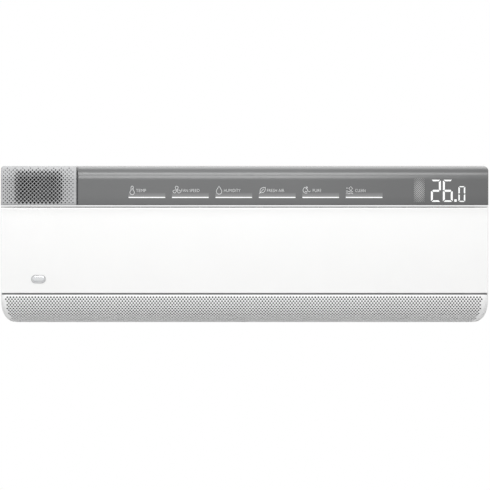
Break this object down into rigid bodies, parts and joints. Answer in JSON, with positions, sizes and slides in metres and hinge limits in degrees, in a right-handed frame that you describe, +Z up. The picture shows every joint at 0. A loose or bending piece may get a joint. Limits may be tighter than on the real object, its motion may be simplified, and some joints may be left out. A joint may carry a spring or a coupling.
{
  "type": "wall-mounted split air conditioner indoor unit",
  "caption": "Wide white indoor air-conditioning unit with a grey display strip, a fresh-air grille, a hinged front panel and a perforated flap.",
  "frame": {"origin": "centre of the unit's width and height on the wall plane, at the back face of the mounting plate", "axes": "+X to the right seen from the front, +Y into the wall, +Z up; the front faces -Y"},
  "size_m": [1, 0.225, 0.32],
  "materials": {
    "white_gloss": "glossy moulded plastic",
    "white_shell": "satin moulded plastic",
    "silver_plastic": "silver-painted satin plastic",
    "smoke_gloss": "grey satin-gloss panel, hidden display behind it",
    "dark_plastic": "fine-textured black plastic",
    "inner_plastic": "unpainted moulded plastic",
    "circuit_board": "solder-masked board",
    "rubber": "moulded rubber",
    "filter_net": "woven plastic net in a moulded frame",
    "filter_paper": "pleated filter medium in a card frame",
    "aluminium": "stamped aluminium fins",
    "galvanised": "zinc-plated sheet steel",
    "copper": "drawn copper tube",
    "brass": "turned brass"
  },
  "bodies": {
    "unit": {"mounting_plate": "galvanised", "rear_chassis": "inner_plastic", "left_end_cover": "white_shell", "right_end_cover": "white_shell", "top_cover": "white_shell", "bottom_cover": "white_shell", "front_frame": "white_shell", "display_carrier": "dark_plastic", "display_panel": "smoke_gloss", "fresh_air_grille": "silver_plastic", "display_board": "circuit_board", "accent_trim": "white_gloss", "top_grille": "white_shell", "evaporator_front": "aluminium", "evaporator_top": "aluminium", "evaporator_rear": "aluminium", "evaporator_left_plate": "galvanised", "evaporator_right_plate": "galvanised", "drain_pan": "inner_plastic", "left_louver_motor": "galvanised", "right_louver_motor": "galvanised", "fan_motor": "galvanised", "fan_motor_clamp": "inner_plastic", "fan_bearing": "rubber", "flap_motor": "galvanised", "vane_motor": "galvanised", "electrical_box": "inner_plastic", "main_board": "circuit_board", "terminal_block": "dark_plastic", "fresh_air_volute": "inner_plastic", "fresh_air_motor": "galvanised", "fresh_air_spigot": "dark_plastic", "gas_pipe": "copper", "liquid_pipe": "copper", "gas_flare_nut": "brass", "liquid_flare_nut": "brass"},
    "front_panel": {"front_panel": "white_gloss"},
    "air_flap": {"air_flap": "white_shell"},
    "air_vane": {"air_vane": "white_shell"},
    "cross_flow_fan": {"cross_flow_fan": "dark_plastic", "fan_motor_shaft": "galvanised"},
    "fresh_air_impeller": {"fresh_air_impeller": "dark_plastic"},
    "left_filter": {"left_filter": "filter_net"},
    "right_filter": {"right_filter": "filter_net"},
    "hepa_cartridge": {"hepa_cartridge": "filter_paper"},
    "manual_button": {"manual_button": "white_gloss"},
    "left_louver_1": {"left_louver_1": "white_shell"},
    "left_louver_2": {"left_louver_2": "white_shell"},
    "left_louver_3": {"left_louver_3": "white_shell"},
    "left_louver_4": {"left_louver_4": "white_shell"},
    "left_louver_5": {"left_louver_5": "white_shell"},
    "left_louver_6": {"left_louver_6": "white_shell"},
    "right_louver_1": {"right_louver_1": "white_shell"},
    "right_louver_2": {"right_louver_2": "white_shell"},
    "right_louver_3": {"right_louver_3": "white_shell"},
    "right_louver_4": {"right_louver_4": "white_shell"},
    "right_louver_5": {"right_louver_5": "white_shell"},
    "right_louver_6": {"right_louver_6": "white_shell"},
    "left_link_bar": {"left_link_bar": "inner_plastic"},
    "right_link_bar": {"right_link_bar": "inner_plastic"}
  },
  "joints": [
    {"name": "front_panel_hinge", "type": "hinge", "parent": "unit", "child": "front_panel", "pos_m": [0, -0.219, 0.0695], "axis": [-1, 0, 0], "range_deg": [0, 65]},
    {"name": "air_flap_hinge", "type": "hinge", "parent": "unit", "child": "air_flap", "pos_m": [0, -0.112, -0.145], "axis": [1, 0, 0], "range_deg": [0, 85]},
    {"name": "air_vane_hinge", "type": "hinge", "parent": "unit", "child": "air_vane", "pos_m": [0, -0.176, -0.119], "axis": [1, 0, 0], "range_deg": [-20, 55]},
    {"name": "left_louver_1_pivot", "type": "hinge", "parent": "unit", "child": "left_louver_1", "pos_m": [-0.305, -0.1336, -0.0838], "axis": [0, -0.6428, 0.766], "range_deg": [-30, 30]},
    {"name": "left_louver_2_pivot", "type": "hinge", "parent": "unit", "child": "left_louver_2", "pos_m": [-0.247, -0.1336, -0.0838], "axis": [0, -0.6428, 0.766], "range_deg": [-30, 30]},
    {"name": "left_louver_3_pivot", "type": "hinge", "parent": "unit", "child": "left_louver_3", "pos_m": [-0.189, -0.1336, -0.0838], "axis": [0, -0.6428, 0.766], "range_deg": [-30, 30]},
    {"name": "left_louver_4_pivot", "type": "hinge", "parent": "unit", "child": "left_louver_4", "pos_m": [-0.131, -0.1336, -0.0838], "axis": [0, -0.6428, 0.766], "range_deg": [-30, 30]},
    {"name": "left_louver_5_pivot", "type": "hinge", "parent": "unit", "child": "left_louver_5", "pos_m": [-0.073, -0.1336, -0.0838], "axis": [0, -0.6428, 0.766], "range_deg": [-30, 30]},
    {"name": "left_louver_6_pivot", "type": "hinge", "parent": "unit", "child": "left_louver_6", "pos_m": [-0.015, -0.1336, -0.0838], "axis": [0, -0.6428, 0.766], "range_deg": [-30, 30]},
    {"name": "left_link_bar_pivot", "type": "hinge", "parent": "left_louver_1", "child": "left_link_bar", "pos_m": [-0.305, -0.14356, -0.09216], "axis": [0, -0.6428, 0.766], "range_deg": [-30, 30]},
    {"name": "right_louver_1_pivot", "type": "hinge", "parent": "unit", "child": "right_louver_1", "pos_m": [0.075, -0.1336, -0.0838], "axis": [0, -0.6428, 0.766], "range_deg": [-30, 30]},
    {"name": "right_louver_2_pivot", "type": "hinge", "parent": "unit", "child": "right_louver_2", "pos_m": [0.133, -0.1336, -0.0838], "axis": [0, -0.6428, 0.766], "range_deg": [-30, 30]},
    {"name": "right_louver_3_pivot", "type": "hinge", "parent": "unit", "child": "right_louver_3", "pos_m": [0.191, -0.1336, -0.0838], "axis": [0, -0.6428, 0.766], "range_deg": [-30, 30]},
    {"name": "right_louver_4_pivot", "type": "hinge", "parent": "unit", "child": "right_louver_4", "pos_m": [0.249, -0.1336, -0.0838], "axis": [0, -0.6428, 0.766], "range_deg": [-30, 30]},
    {"name": "right_louver_5_pivot", "type": "hinge", "parent": "unit", "child": "right_louver_5", "pos_m": [0.307, -0.1336, -0.0838], "axis": [0, -0.6428, 0.766], "range_deg": [-30, 30]},
    {"name": "right_louver_6_pivot", "type": "hinge", "parent": "unit", "child": "right_louver_6", "pos_m": [0.365, -0.1336, -0.0838], "axis": [0, -0.6428, 0.766], "range_deg": [-30, 30]},
    {"name": "right_link_bar_pivot", "type": "hinge", "parent": "right_louver_1", "child": "right_link_bar", "pos_m": [0.075, -0.14356, -0.09216], "axis": [0, -0.6428, 0.766], "range_deg": [-30, 30]},
    {"name": "cross_flow_fan_spin", "type": "hinge", "parent": "unit", "child": "cross_flow_fan", "pos_m": [0.028, -0.108, -0.005], "axis": [1, 0, 0], "continuous": true},
    {"name": "fresh_air_impeller_spin", "type": "hinge", "parent": "unit", "child": "fresh_air_impeller", "pos_m": [-0.4, -0.125, 0], "axis": [1, 0, 0], "continuous": true},
    {"name": "left_filter_slide", "type": "slide", "parent": "unit", "child": "left_filter", "axis": [0, 0.1822, 0.9833], "range_m": [0, 0.215]},
    {"name": "right_filter_slide", "type": "slide", "parent": "unit", "child": "right_filter", "axis": [0, 0.1822, 0.9833], "range_m": [0, 0.215]},
    {"name": "hepa_cartridge_slide", "type": "slide", "parent": "unit", "child": "hepa_cartridge", "axis": [0, 0, 1], "range_m": [0, 0.12]},
    {"name": "manual_button_press", "type": "slide", "parent": "unit", "child": "manual_button", "axis": [0, 1, 0], "range_m": [0, 0.0015], "stiffness_N_per_m": 400}
  ],
  "couplings": [
    {"joint": "left_louver_2_pivot", "follows": "left_louver_1_pivot", "ratio": 1},
    {"joint": "left_louver_3_pivot", "follows": "left_louver_1_pivot", "ratio": 1},
    {"joint": "left_louver_4_pivot", "follows": "left_louver_1_pivot", "ratio": 1},
    {"joint": "left_louver_5_pivot", "follows": "left_louver_1_pivot", "ratio": 1},
    {"joint": "left_louver_6_pivot", "follows": "left_louver_1_pivot", "ratio": 1},
    {"joint": "left_link_bar_pivot", "follows": "left_louver_1_pivot", "ratio": -1},
    {"joint": "right_louver_2_pivot", "follows": "right_louver_1_pivot", "ratio": 1},
    {"joint": "right_louver_3_pivot", "follows": "right_louver_1_pivot", "ratio": 1},
    {"joint": "right_louver_4_pivot", "follows": "right_louver_1_pivot", "ratio": 1},
    {"joint": "right_louver_5_pivot", "follows": "right_louver_1_pivot", "ratio": 1},
    {"joint": "right_louver_6_pivot", "follows": "right_louver_1_pivot", "ratio": 1},
    {"joint": "right_link_bar_pivot", "follows": "right_louver_1_pivot", "ratio": -1}
  ]
}
